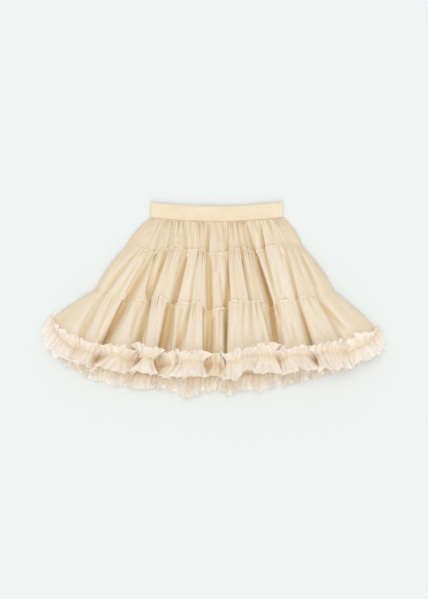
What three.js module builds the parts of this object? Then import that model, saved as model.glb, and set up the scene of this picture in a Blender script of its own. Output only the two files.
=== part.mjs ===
// A child's tiered tulle skirt, lying flat on its back.
//
// Millimetres. +Z is up, away from the surface; +Y runs from the hem to the waist; X runs across.
// The origin is under the middle of the skirt. A waistband of elastic carries three tiers of tulle,
// each gathered into the one above, and a ruffle gathered along its middle runs round the hem.
// The back half lies flat. The front half stands over it in bells with valleys between them.

import * as THREE from 'three';

// Cloth and seams
const TULLE_WALL = 1.2;
const RUFFLE_WALL = 1.0;
const ELASTIC_WALL = 1.5;
const SEAM_GAP = 0.3;
const BACK_WALL = 1.5;

// Waistband
const BAND_HEIGHT = 27;
const BAND_THICKNESS = 5;
const BAND_END_RADIUS = 2.4;
const BAND_STEPS_ACROSS = 16;
const BAND_STEPS_DOWN = 2;

// Ruffle strip, measured from the stitches along its middle
const FRILL_ABOVE = 24;
const FRILL_BELOW = 30;
const FRILL_RISE = 8;
const FRILL_SAG = 3;
const FRILL_WAVE = 3;
const END_FLARE = 8;
const STITCHES_TO_EDGE = 1;
const RUN_OUT_START = 0.8;

// Back half, pressed flat by the skirt's weight
const BACK_GATHER_RISE = 1.0;
const BACK_FRILL_WAVE = 2.2;
const BACK_FRILL_SHORTER = 0.9;

// Where the back of the lowest tier steps up onto the upper half of its ruffle, as shares down it
const STEP_START = 0.52;
const STEP_END = 0.56;

// Gathers of each tier and waves of the ruffle, and the columns of points that they take
const FRONT_GATHERS = 20;
const FRONT_COLUMNS = 100;
const BACK_GATHERS = 8;
const BACK_COLUMNS = 32;
const FRONT_WAVES = 50;
const BACK_WAVES = 48;
const FRONT_WAVE_COLUMNS = 4;
const BACK_WAVE_COLUMNS = 3;
const GATHER_RISE = 1.3;

// Seam lines from waist to hem. Each runs between its two side ends and dips to midY between them.
// A high squareness keeps the line low until close to the side, and a rounding under 1 turns it up
// there as an arc. valleyDrop is how much lower the line runs in a full valley, height is how high
// a bell stands, and clearance is the height left under a full valley.
const LINES = {
  waist: { leftX: -115, leftY: 148, rightX: 125, rightY: 149, midY: 141,
    leftSquareness: 2, rightSquareness: 2, rounding: 1, valleyDrop: 0, height: 1.9, clearance: 1.6 },
  seam1: { leftX: -160, leftY: 94, rightX: 160, rightY: 96, midY: 90,
    leftSquareness: 2, rightSquareness: 2, rounding: 1, valleyDrop: 7, height: 12, clearance: 3 },
  seam2: { leftX: -214, leftY: 17, rightX: 218, rightY: 14, midY: -4,
    leftSquareness: 4, rightSquareness: 3, rounding: 1, valleyDrop: 12, height: 22, clearance: 4 },
  hem: { leftX: -287, leftY: -33, rightX: 290, rightY: -52, midY: -101,
    leftSquareness: 3.4, rightSquareness: 2.8, rounding: 0.33, valleyDrop: 24, height: 34, clearance: 8 },
  backHem: { leftX: -287, leftY: -33, rightX: 290, rightY: -52, midY: -137,
    leftSquareness: 3.4, rightSquareness: 1.7, rounding: 0.5, valleyDrop: 0, height: 0, clearance: 0 },
};

// Lobes of the ruffle that hang out further below the back's hem: middle, length and half width
const HEM_LOBES = [
  { x: -41, out: 13, width: 17 },
  { x: 28, out: 9, width: 9 },
  { x: 83, out: 7, width: 10 },
];

// Valleys between the bells of the front, left to right: where each crosses the four seam lines,
// how deep it is there from 0 to 1, and its half width at the hem.
const VALLEYS = [
  { x: { waist: -101, seam1: -133, seam2: -198, hem: -245 },
    depth: { waist: 0.1, seam1: 0.2, seam2: 0.3, hem: 0.35 }, width: 12 },
  { x: { waist: -86, seam1: -107, seam2: -151, hem: -200 },
    depth: { waist: 0.2, seam1: 0.4, seam2: 0.75, hem: 0.85 }, width: 9 },
  { x: { waist: -73, seam1: -82, seam2: -121, hem: -148 },
    depth: { waist: 0.2, seam1: 0.35, seam2: 0.6, hem: 0.8 }, width: 8 },
  { x: { waist: -54, seam1: -52, seam2: -74, hem: -83 },
    depth: { waist: 0.3, seam1: 0.4, seam2: 0.6, hem: 1 }, width: 10 },
  { x: { waist: -32, seam1: -29, seam2: -44, hem: -72 },
    depth: { waist: 0.2, seam1: 0.15, seam2: 0.25, hem: 0.5 }, width: 6 },
  { x: { waist: -11, seam1: -13, seam2: -7, hem: -6 },
    depth: { waist: 0.3, seam1: 0.4, seam2: 0.65, hem: 1 }, width: 10 },
  { x: { waist: 25, seam1: 24, seam2: 20, hem: 12 },
    depth: { waist: 0.3, seam1: 0.4, seam2: 0.75, hem: 1 }, width: 6 },
  { x: { waist: 40, seam1: 50, seam2: 66, hem: 67 },
    depth: { waist: 0.3, seam1: 0.4, seam2: 0.35, hem: 0 }, width: 7 },
  { x: { waist: 56, seam1: 70, seam2: 97, hem: 121 },
    depth: { waist: 0.6, seam1: 0.8, seam2: 1, hem: 0.6 }, width: 8 },
  { x: { waist: 81, seam1: 88, seam2: 113, hem: 148 },
    depth: { waist: 0.6, seam1: 0.5, seam2: 0.1, hem: 0 }, width: 7 },
  { x: { waist: 103, seam1: 126, seam2: 148, hem: 175 },
    depth: { waist: 0.2, seam1: 0.2, seam2: 0.35, hem: 0.85 }, width: 7 },
  { x: { waist: 113, seam1: 149, seam2: 187, hem: 236 },
    depth: { waist: 0.1, seam1: 0.2, seam2: 0.3, hem: 0.3 }, width: 10 },
];

// Steps in the front's seam lines, where a bell pulls its seam up or a valley lets it hang: middle,
// half width, and how far the line drops
const SEAM_STEPS = {
  waist: [],
  seam1: [
    { x: -112, width: 19, drop: 7 },
    { x: -70, width: 8, drop: -4 },
    { x: -40, width: 18, drop: 2 },
    { x: 6, width: 19, drop: 8 },
    { x: 74, width: 14, drop: 5 },
    { x: 122, width: 26, drop: -2 },
  ],
  seam2: [
    { x: -188, width: 22, drop: 6 },
    { x: -102, width: 18, drop: -6 },
    { x: -45, width: 26, drop: 3 },
    { x: 4, width: 18, drop: 9 },
    { x: 121, width: 20, drop: 4 },
  ],
  hem: [
    { x: -45, width: 34, drop: 8 },
    { x: 32, width: 18, drop: 9 },
  ],
};

// A valley narrows towards the waist by these shares of its width at the hem
const VALLEY_NARROWING = { waist: 0.35, seam1: 0.55, seam2: 0.85, hem: 1 };

// Tiers: the seam lines that they hang between, how far their sides bow out, how much they puff up
// halfway down, how far their gathers reach, and the rows of points down each half
const TIERS = {
  tier1: { top: 'waist', bottom: 'seam1', backBottom: 'seam1', bow: 5, puff: 1.5, reach: 0.9,
    rows: 4, backRows: 3 },
  tier2: { top: 'seam1', bottom: 'seam2', backBottom: 'seam2', bow: 5, puff: 5, reach: 0.7,
    rows: 5, backRows: 3 },
  tier3: { top: 'seam2', bottom: 'hem', backBottom: 'backHem', bow: 5, puff: 5, reach: 0.6,
    rows: 6, backRows: 3 },
};

const MATERIALS = {
  elastic: new THREE.MeshStandardMaterial({ color: 0xf3e3c3, roughness: 0.8, metalness: 0 }),
  tulle: new THREE.MeshStandardMaterial({ color: 0xebdcc3, roughness: 0.9, metalness: 0 }),
  ruffle: new THREE.MeshStandardMaterial({ color: 0xf0e2cf, roughness: 0.9, metalness: 0 }),
};

const skirt = new THREE.Group();

// Plain numbers

const lerp = THREE.MathUtils.lerp;

function smooth(value) {
  const share = THREE.MathUtils.clamp(value, 0, 1);
  return share * share * (3 - 2 * share);
}

// Straight-line reading of a table of rising keys and their values
function readBetween(keys, values, key) {
  let i = 1;
  while (i < keys.length - 1 && keys[i] < key) i += 1;
  const share = (key - keys[i - 1]) / (keys[i] - keys[i - 1]);
  return lerp(values[i - 1], values[i], share);
}

// Seam lines. side runs from -1 at the left end to 1 at the right end.

function lineX(line, side) {
  return lerp(line.leftX, line.rightX, (side + 1) / 2);
}

function lineSide(line, x) {
  return 2 * (x - line.leftX) / (line.rightX - line.leftX) - 1;
}

function lineY(line, side) {
  const square = side < 0 ? line.leftSquareness : line.rightSquareness;
  const endY = side < 0 ? line.leftY : line.rightY;
  const reach = Math.max(0, 1 - Math.abs(side) ** square) ** line.rounding;
  return lerp(endY, line.midY, reach);
}

// The line's length from its left end to each of many places along it, as shares of the whole
function measureLine(line) {
  const steps = 400;
  const sides = [-1];
  const lengths = [0];
  for (let i = 1; i <= steps; i += 1) {
    const side = -Math.cos(Math.PI * i / steps);
    const last = sides[i - 1];
    const stepX = lineX(line, side) - lineX(line, last);
    const stepY = lineY(line, side) - lineY(line, last);
    sides.push(side);
    lengths.push(lengths[i - 1] + Math.hypot(stepX, stepY));
  }
  return { sides, shares: lengths.map((length) => length / lengths[steps]) };
}

// Valleys

// How deep the front is folded in at x, from 0 on a bell to 1 in a full valley, at a share down
// the tier between two seam lines
function valleyDepth(tier, x, down) {
  let height = 1;
  for (const valley of VALLEYS) {
    const middle = lerp(valley.x[tier.top], valley.x[tier.bottom], down);
    const depth = lerp(valley.depth[tier.top], valley.depth[tier.bottom], down);
    const narrowing = lerp(VALLEY_NARROWING[tier.top], VALLEY_NARROWING[tier.bottom], down);
    const distance = (x - middle) / (valley.width * narrowing);
    height *= 1 - depth / (1 + distance * distance) ** 1.5;
  }
  return 1 - height;
}

// How far the steps drop a seam line at x
function stepDrop(name, x) {
  return SEAM_STEPS[name].reduce((sum, step) => (
    sum + step.drop * Math.exp(-(((x - step.x) / step.width) ** 4))), 0);
}

// Places across a half of the skirt, as shares of the length of its hem. Each gives the side on
// every seam line, so that the columns of points run down along the valleys.
function layColumns(hemName) {
  const hem = LINES[hemName];
  const { sides, shares } = measureLine(hem);
  const knots = VALLEYS.map((valley) => readBetween(sides, shares, lineSide(hem, valley.x.hem)));
  const sidesAt = { [hemName]: (across) => readBetween(shares, sides, across) };
  for (const name of ['waist', 'seam1', 'seam2']) {
    const crossings = VALLEYS.map((valley) => lineSide(LINES[name], valley.x[name]));
    sidesAt[name] = (across) => readBetween([0, ...knots, 1], [-1, ...crossings, 1], across);
  }
  return sidesAt;
}

const FRONT_SIDES = layColumns('hem');
const BACK_SIDES = layColumns('backHem');

// Front half

function sideLift(side) {
  return Math.sqrt(Math.max(0, 1 - Math.abs(side) ** 6));
}

// Height of the side seam: over the flat back, and near the hem over the ruffle under the back
function sideHeight(tier, down) {
  const overBack = BACK_WALL + SEAM_GAP + TULLE_WALL / 2;
  const overRuffle = tier.bottom === 'hem' ? smooth((down - 0.5) / 0.15) : 0;
  return overBack + overRuffle * (RUFFLE_WALL + SEAM_GAP);
}

// A point of the front's middle surface, at a share across the tier and a share down it
function frontPoint(tier, across, down) {
  const top = LINES[tier.top];
  const bottom = LINES[tier.bottom];
  const topSide = FRONT_SIDES[tier.top](across);
  const bottomSide = FRONT_SIDES[tier.bottom](across);
  const side = lerp(topSide, bottomSide, down);
  const plainX = lerp(lineX(top, topSide), lineX(bottom, bottomSide), down);
  const plainY = lerp(lineY(top, topSide), lineY(bottom, bottomSide), down);
  const depth = valleyDepth(tier, plainX, down);
  const bow = tier.bow * Math.sin(Math.PI * down) * side * Math.abs(side) ** 5;
  const topStep = stepDrop(tier.top, lineX(top, topSide));
  const bottomStep = stepDrop(tier.bottom, lineX(bottom, bottomSide));
  const valleyDrop = lerp(top.valleyDrop, bottom.valleyDrop, down) * depth;
  const drop = (valleyDrop + lerp(topStep, bottomStep, down)) * (1 - side ** 8);
  const height = lerp(top.height, bottom.height, down) + tier.puff * Math.sin(Math.PI * down);
  const clearance = lerp(top.clearance, bottom.clearance, down);
  const lift = sideLift(side) * (clearance + (height - clearance) * (1 - depth));
  return new THREE.Vector3(plainX + bow, plainY - drop, sideHeight(tier, down) + lift);
}

// Gathers stand highest just below the seam and die out down the tier
function gatherHeight(tier, across, down) {
  const start = tier.top === 'waist' ? smooth(down / 0.1) : 1;
  const fade = start * (1 - smooth(down / tier.reach)) * Math.sin(Math.PI * across) ** 0.3;
  return GATHER_RISE * fade * Math.cos(2 * Math.PI * FRONT_GATHERS * across);
}

function frontGrid(tier) {
  const grid = [];
  for (let r = 0; r < tier.rows; r += 1) {
    const down = r / (tier.rows - 1);
    const row = [];
    for (let c = 0; c <= FRONT_COLUMNS; c += 1) {
      const across = c / FRONT_COLUMNS;
      const point = frontPoint(tier, across, down);
      point.z += gatherHeight(tier, across, down);
      row.push(point);
    }
    grid.push(row);
  }
  grid[tier.rows - 1] = shortenRow(grid[tier.rows - 1]);
  return grid;
}

// A tier's last row, moved back across the seam line by the gap to the piece below
function shortenRow(row) {
  return row.map((point, c) => point.clone().addScaledVector(acrossSeam(row, c), -SEAM_GAP));
}

// Walls

// The step along a row from one neighbour of a point to the other
function alongRow(row, c) {
  const last = row.length - 1;
  return new THREE.Vector3().subVectors(row[Math.min(c + 1, last)], row[Math.max(c - 1, 0)]);
}

// The level direction down the skirt, square to the seam line that a row follows
function acrossSeam(row, c) {
  const along = alongRow(row, c);
  return new THREE.Vector3(along.y, -along.x, 0).normalize();
}

// End rows have normals that stand upright on the seam line, so pieces meet there face to face
function surfaceNormal(grid, r, c) {
  const lastRow = grid.length - 1;
  const isEnd = r === 0 || r === lastRow;
  const down = isEnd ? acrossSeam(grid[r], c)
    : new THREE.Vector3().subVectors(grid[r + 1][c], grid[r - 1][c]);
  return new THREE.Vector3().crossVectors(down, alongRow(grid[r], c)).normalize();
}

// Both faces of a wall of one thickness, from the points of its middle surface
function wallFaces(grid, thickness) {
  const outer = [];
  const inner = [];
  grid.forEach((row, r) => {
    outer.push(row.map((point, c) => (
      point.clone().addScaledVector(surfaceNormal(grid, r, c), thickness / 2))));
    inner.push(row.map((point, c) => (
      point.clone().addScaledVector(surfaceNormal(grid, r, c), -thickness / 2))));
  });
  return { outer, inner };
}

// A closed solid between an upper and a lower grid of points, rows down and columns to the right
function closeWall(outer, inner) {
  const rows = outer.length;
  const columns = outer[0].length;
  const positions = [];
  const indices = [];
  for (const grid of [outer, inner]) {
    for (const row of grid) {
      for (const point of row) positions.push(point.x, point.y, point.z);
    }
  }
  const at = (layer, r, c) => (layer * rows + r) * columns + c;
  const addQuad = (a, b, c, d) => indices.push(a, b, c, a, c, d);
  for (let r = 0; r < rows - 1; r += 1) {
    for (let c = 0; c < columns - 1; c += 1) {
      addQuad(at(0, r, c), at(0, r + 1, c), at(0, r + 1, c + 1), at(0, r, c + 1));
      addQuad(at(1, r, c), at(1, r, c + 1), at(1, r + 1, c + 1), at(1, r + 1, c));
    }
  }
  for (let c = 0; c < columns - 1; c += 1) {
    addQuad(at(0, 0, c), at(0, 0, c + 1), at(1, 0, c + 1), at(1, 0, c));
    addQuad(at(0, rows - 1, c + 1), at(0, rows - 1, c), at(1, rows - 1, c), at(1, rows - 1, c + 1));
  }
  for (let r = 0; r < rows - 1; r += 1) {
    addQuad(at(0, r + 1, 0), at(0, r, 0), at(1, r, 0), at(1, r + 1, 0));
    addQuad(at(0, r, columns - 1), at(0, r + 1, columns - 1),
      at(1, r + 1, columns - 1), at(1, r, columns - 1));
  }
  return indexedGeometry(positions, indices);
}

function indexedGeometry(positions, indices) {
  const geometry = new THREE.BufferGeometry();
  geometry.setAttribute('position', new THREE.Float32BufferAttribute(positions, 3));
  geometry.setIndex(indices);
  geometry.computeVertexNormals();
  return geometry;
}

function addPiece(name, geometry, material) {
  const mesh = new THREE.Mesh(geometry, material);
  mesh.name = name;
  skirt.add(mesh);
}

// Back half: flat underneath, with its gathers raised on the upper face

function backGrids(tier) {
  const upper = [];
  const lower = [];
  for (const down of backRowShares(tier)) {
    const step = backStepHeight(tier, down);
    const row = [];
    for (let c = 0; c <= BACK_COLUMNS; c += 1) row.push(backPoint(tier, c / BACK_COLUMNS, down));
    const placed = down === 1 ? shortenRow(row) : row;
    lower.push(placed.map((point) => point.clone().setZ(step)));
    upper.push(placed.map((point, c) => (
      point.clone().setZ(step + BACK_WALL + backGatherHeight(tier, c / BACK_COLUMNS, down)))));
  }
  return { upper, lower };
}

function backPoint(tier, across, down) {
  const top = LINES[tier.top];
  const bottom = LINES[tier.backBottom];
  const topSide = BACK_SIDES[tier.top](across);
  const bottomSide = BACK_SIDES[tier.backBottom](across);
  const side = lerp(topSide, bottomSide, down);
  const bow = tier.bow * Math.sin(Math.PI * down) * side * Math.abs(side) ** 5;
  const x = lerp(lineX(top, topSide), lineX(bottom, bottomSide), down) + bow;
  const y = lerp(lineY(top, topSide), lineY(bottom, bottomSide), down);
  return new THREE.Vector3(x, y, 0);
}

function backGatherHeight(tier, across, down) {
  const fade = (1 - smooth(down / tier.reach)) * Math.sin(Math.PI * across);
  return BACK_GATHER_RISE * fade * (1 + Math.cos(2 * Math.PI * BACK_GATHERS * across)) / 2;
}

function backRowShares(tier) {
  if (tier.bottom === 'hem') return [0, 0.3, STEP_START, STEP_END, 1];
  return Array.from({ length: tier.backRows }, (_, r) => r / (tier.backRows - 1));
}

function backStepHeight(tier, down) {
  if (tier.bottom !== 'hem' || down < STEP_END) return 0;
  return RUFFLE_WALL + SEAM_GAP;
}

function addTiers() {
  for (const name of Object.keys(TIERS)) {
    const tier = TIERS[name];
    const front = wallFaces(frontGrid(tier), TULLE_WALL);
    addPiece(`${name}_front`, closeWall(front.outer, front.inner), MATERIALS.tulle);
    const back = backGrids(tier);
    addPiece(`${name}_back`, closeWall(back.upper, back.lower), MATERIALS.tulle);
  }
}

// The front of the lowest tier, which carries the ruffle
const LOW_FRONT = { points: frontGrid(TIERS.tier3) };
LOW_FRONT.normals = LOW_FRONT.points.map((row, r) => (
  row.map((_, c) => surfaceNormal(LOW_FRONT.points, r, c))));

// Hem ruffle. Its rows run from the upper free edge over the stitches to the lower free edge:
// along is the distance from the stitches, rise how far it stands off, wave its share of the wave.
const FRILL_ROWS = [
  { along: -FRILL_ABOVE, rise: FRILL_RISE, wave: 1 },
  { along: -FRILL_ABOVE / 2, rise: FRILL_RISE * 0.7, wave: 0.55 },
  { along: 0, rise: 0.6, wave: 0.12 },
  { along: FRILL_BELOW / 2, rise: -FRILL_SAG * 0.1, wave: 0.6 },
  { along: FRILL_BELOW, rise: -FRILL_SAG, wave: 1 },
];

// The plan direction in which a column of the lowest tier runs out over its last stretch
function runOut(tier, across) {
  const above = frontPoint(tier, across, RUN_OUT_START);
  const edge = frontPoint(tier, across, 1);
  return new THREE.Vector3(edge.x - above.x, edge.y - above.y, 0).normalize();
}

// Beside the side seams the ruffle turns round the edge, so its upper half fans out sideways
function endFlare(side, direction, along) {
  const share = side ** 10 * Math.max(0, -along) / FRILL_ABOVE;
  const turn = side < 0 ? -1 : 1;
  return new THREE.Vector3(-direction.y * turn, direction.x * turn, 0)
    .multiplyScalar(END_FLARE * share);
}

// Reads a grid of vectors between its rows and columns
function readGrid(grid, across, down) {
  const r = Math.min(Math.floor(down * (grid.length - 1)), grid.length - 2);
  const c = Math.min(Math.floor(across * (grid[0].length - 1)), grid[0].length - 2);
  const rowShare = down * (grid.length - 1) - r;
  const columnShare = across * (grid[0].length - 1) - c;
  const above = grid[r][c].clone().lerp(grid[r][c + 1], columnShare);
  const below = grid[r + 1][c].clone().lerp(grid[r + 1][c + 1], columnShare);
  return above.lerp(below, rowShare);
}

// A point of the ruffle over the front, moved out from the faceted wall of the lowest tier
function frontRufflePoint(tier, across, { along, rise, wave }) {
  const lengthDown = LINES[tier.top].midY - LINES[tier.bottom].midY;
  const stitched = 1 - STITCHES_TO_EDGE / lengthDown;
  const down = Math.min(stitched, stitched + along / lengthDown);
  const point = readGrid(LOW_FRONT.points, across, down);
  const offSurface = (TULLE_WALL + RUFFLE_WALL) / 2 + SEAM_GAP;
  point.addScaledVector(readGrid(LOW_FRONT.normals, across, down), offSurface);
  const side = FRONT_SIDES[tier.bottom](across);
  const direction = runOut(tier, across);
  if (along > 0) point.addScaledVector(direction, along);
  point.add(endFlare(side, direction, along));
  const swing = FRILL_WAVE * wave * (1 + Math.cos(2 * Math.PI * FRONT_WAVES * across));
  point.z += (rise + swing) * sideLift(side);
  return point;
}

// How far a lobe hangs out below the lower free edge of the back's ruffle at x
function lobeLength(x) {
  return HEM_LOBES.reduce((sum, lobe) => (
    sum + lobe.out * Math.exp(-(((x - lobe.x) / lobe.width) ** 2))), 0);
}

function backRufflePoint(tier, across, { along, wave }) {
  const side = BACK_SIDES[tier.backBottom](across);
  const edge = backPoint(tier, across, 1);
  const direction = edge.clone().sub(backPoint(tier, across, RUN_OUT_START)).normalize();
  const below = Math.max(0, along) / FRILL_BELOW;
  const length = along > 0 ? along * BACK_FRILL_SHORTER + below * lobeLength(edge.x) : along;
  const point = edge.addScaledVector(direction, length - STITCHES_TO_EDGE);
  const free = along > 0 ? wave * sideLift(side) : 0;
  const swing = BACK_FRILL_WAVE * free * (1 - Math.cos(2 * Math.PI * BACK_WAVES * across));
  point.z = RUFFLE_WALL / 2 + swing;
  return point.add(endFlare(side, direction, along));
}

function ruffleGrid(frillRows, count, rufflePoint) {
  return frillRows.map((frillRow) => (
    Array.from({ length: count + 1 }, (_, c) => rufflePoint(TIERS.tier3, c / count, frillRow))));
}

function addRuffles() {
  const frontCount = FRONT_WAVES * FRONT_WAVE_COLUMNS;
  const front = wallFaces(ruffleGrid(FRILL_ROWS, frontCount, frontRufflePoint), RUFFLE_WALL);
  addPiece('hem_ruffle_front', closeWall(front.outer, front.inner), MATERIALS.ruffle);
  const flatRows = FRILL_ROWS.filter(({ along }) => along !== -FRILL_ABOVE / 2);
  const backCount = BACK_WAVES * BACK_WAVE_COLUMNS;
  const back = wallFaces(ruffleGrid(flatRows, backCount, backRufflePoint), RUFFLE_WALL);
  addPiece('hem_ruffle_back', closeWall(back.outer, back.inner), MATERIALS.ruffle);
}

// Waistband: a ring of elastic, pressed flat, with rounded ends

// The band's section across: around the flattened ring, at a distance inside its outer face
function bandSection(inset) {
  const radius = BAND_THICKNESS / 2 - inset;
  const left = LINES.waist.leftX + BAND_END_RADIUS;
  const right = LINES.waist.rightX - BAND_END_RADIUS;
  const points = [];
  for (let i = 0; i <= BAND_STEPS_ACROSS; i += 1) {
    points.push([lerp(left, right, i / BAND_STEPS_ACROSS), radius]);
  }
  for (const angle of [60, 30, 0, -30, -60]) points.push(roundEnd(right, 1, radius, angle));
  for (let i = 0; i <= BAND_STEPS_ACROSS; i += 1) {
    points.push([lerp(right, left, i / BAND_STEPS_ACROSS), -radius]);
  }
  for (const angle of [-60, -30, 0, 30, 60]) points.push(roundEnd(left, -1, radius, angle));
  return points;
}

function roundEnd(x, direction, radius, degrees) {
  const angle = THREE.MathUtils.degToRad(degrees);
  return [x + direction * radius * Math.cos(angle), radius * Math.sin(angle)];
}

function addWaistband() {
  const outer = bandSection(0);
  const inner = bandSection(ELASTIC_WALL);
  const count = outer.length;
  const positions = [];
  const indices = [];
  for (const section of [outer, inner]) {
    for (let r = 0; r <= BAND_STEPS_DOWN; r += 1) {
      for (const [x, z] of section) {
        const seamY = lineY(LINES.waist, lineSide(LINES.waist, x)) + SEAM_GAP;
        const y = seamY + BAND_HEIGHT * (1 - r / BAND_STEPS_DOWN);
        positions.push(x, y, BAND_THICKNESS / 2 + z);
      }
    }
  }
  const at = (layer, r, c) => (layer * (BAND_STEPS_DOWN + 1) + r) * count + (c % count);
  const addQuad = (a, b, c, d) => indices.push(a, b, c, a, c, d);
  for (let c = 0; c < count; c += 1) {
    for (let r = 0; r < BAND_STEPS_DOWN; r += 1) {
      addQuad(at(0, r, c), at(0, r + 1, c), at(0, r + 1, c + 1), at(0, r, c + 1));
      addQuad(at(1, r, c), at(1, r, c + 1), at(1, r + 1, c + 1), at(1, r + 1, c));
    }
    addQuad(at(0, 0, c), at(0, 0, c + 1), at(1, 0, c + 1), at(1, 0, c));
    const last = BAND_STEPS_DOWN;
    addQuad(at(0, last, c + 1), at(0, last, c), at(1, last, c), at(1, last, c + 1));
  }
  addPiece('waistband', indexedGeometry(positions, indices), MATERIALS.elastic);
}

addWaistband();
addTiers();
addRuffles();

export default skirt;
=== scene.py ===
"""A child's tiered tulle skirt, lying on its back on a pale surface, seen from straight above.

Each tier, the waistband and both halves of the hem ruffle are thin sheets on the forms of their
solids in the frame. Sizes are in millimetres until a mesh is made.
"""

import math
from types import SimpleNamespace

import bpy
import numpy as np
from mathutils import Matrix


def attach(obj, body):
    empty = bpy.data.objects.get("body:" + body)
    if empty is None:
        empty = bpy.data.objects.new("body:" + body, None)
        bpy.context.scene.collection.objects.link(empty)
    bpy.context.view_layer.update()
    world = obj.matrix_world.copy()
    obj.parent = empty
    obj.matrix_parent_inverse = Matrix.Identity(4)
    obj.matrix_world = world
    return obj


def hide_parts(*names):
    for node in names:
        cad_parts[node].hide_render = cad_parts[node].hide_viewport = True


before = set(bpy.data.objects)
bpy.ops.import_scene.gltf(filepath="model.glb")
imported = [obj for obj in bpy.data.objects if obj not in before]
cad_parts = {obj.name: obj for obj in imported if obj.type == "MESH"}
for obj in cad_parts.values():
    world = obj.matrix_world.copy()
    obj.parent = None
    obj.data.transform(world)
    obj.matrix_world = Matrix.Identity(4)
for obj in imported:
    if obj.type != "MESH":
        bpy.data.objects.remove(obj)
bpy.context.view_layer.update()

MM = 0.001


def table(columns, *rows):
    """Rows of values as dictionaries, with the names of their columns."""
    return [dict(zip(columns.split(), row)) for row in rows]


# Detail, in points across and down each sheet, on each wave and along a line that is measured
FRONT_COLUMNS = 1100
FRONT_ROWS = 60
BACK_COLUMNS = 420
BACK_ROWS = 26
POINTS_PER_WAVE = 14
FRILL_ROWS_ABOVE = 10
FRILL_ROWS_BELOW = 12
FRONT_PATH_POINTS = 4000
BACK_PATH_POINTS = 3000
HEM_SAMPLES = 401

# Seam lines from waist to hem, as in the solids: both ends and the middle, how square each side
# of the curve is, how far the line drops in a valley, and the front's height there on a bell
# and in a valley
LINES = {
    "waist": dict(left_x=-115, left_y=148, right_x=125, right_y=149, mid_y=141,
                  left_square=2, right_square=2, rounding=1, drop=0, height=1.9, clearance=1.6),
    "seam1": dict(left_x=-160, left_y=94, right_x=160, right_y=96, mid_y=90,
                  left_square=2, right_square=2, rounding=1, drop=7, height=12, clearance=3),
    "seam2": dict(left_x=-214, left_y=17, right_x=218, right_y=14, mid_y=-4,
                  left_square=4, right_square=3, rounding=1, drop=12, height=22, clearance=4),
    "hem": dict(left_x=-287, left_y=-33, right_x=290, right_y=-52, mid_y=-101,
                left_square=3.4, right_square=2.8, rounding=0.33, drop=24, height=34,
                clearance=8),
    "back_hem": dict(left_x=-287, left_y=-33, right_x=290, right_y=-52, mid_y=-137,
                     left_square=3.4, right_square=1.7, rounding=0.5, drop=0, height=0,
                     clearance=0),
}

# The lines between which the tiers are sewn, and the number of the last
LINE_NAMES = ("waist", "seam1", "seam2", "hem")
HEM = LINE_NAMES.index("hem")

# Valleys between the bells: where each crosses the four seam lines, its depth and how far its
# floor leans under the bell beside it there, and its half width at the hem
VALLEYS = table(
    "x depth lean width",
    ((-101, -133, -198, -245), (0.1, 0.2, 0.3, 0.35), (0, 0, -2, -4), 12),
    ((-86, -107, -151, -200), (0.2, 0.4, 0.75, 0.85), (0, -4, -12, -16), 12),
    ((-73, -82, -121, -148), (0.2, 0.35, 0.6, 0.8), (0, -3, 8, 11), 11),
    ((-54, -52, -74, -87), (0.3, 0.4, 0.6, 1), (0, 4, -2, -13), 13),
    ((-32, -29, -44, -70), (0.2, 0.15, 0.25, 0.3), (0, 0, 2, 4), 6),
    ((-11, -13, -7, -3), (0.3, 0.4, 0.55, 0.9), (0, 0, -3, -11), 12),
    ((25, 24, 20, 12), (0.3, 0.4, 0.6, 1), (0, 3, 6, 9), 6),
    ((40, 50, 66, 67), (0.3, 0.4, 0.2, 0), (0, -2, -3, 0), 8),
    ((56, 70, 97, 121), (0.6, 0.8, 1, 0.6), (0, 6, 8, -9), 10),
    ((81, 88, 113, 148), (0.6, 0.5, 0.1, 0), (0, 7, 3, 0), 7),
    ((103, 126, 148, 175), (0.2, 0.2, 0.35, 0.75), (0, 2, 6, 11), 8),
    ((113, 149, 187, 236), (0.1, 0.2, 0.3, 0.3), (0, 0, 2, 4), 10),
)

# Share of their width at the hem that the valleys have at the four seam lines
NARROWING = (0.35, 0.5, 0.65, 1)

# Steps in the front's seam lines: middle, half width, and how far the line drops
SEAM_STEPS = {
    "seam1": table("x width drop", (-112, 19, 7), (-70, 8, -4), (-40, 18, 2), (6, 19, 10),
                   (74, 14, 5), (122, 26, -2)),
    "seam2": table("x width drop", (-188, 22, 6), (-102, 18, -6), (-45, 26, 3), (1, 21, 14),
                   (121, 20, 4)),
    "hem": table("x width drop", (-45, 34, 8), (32, 18, 9)),
}

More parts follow.
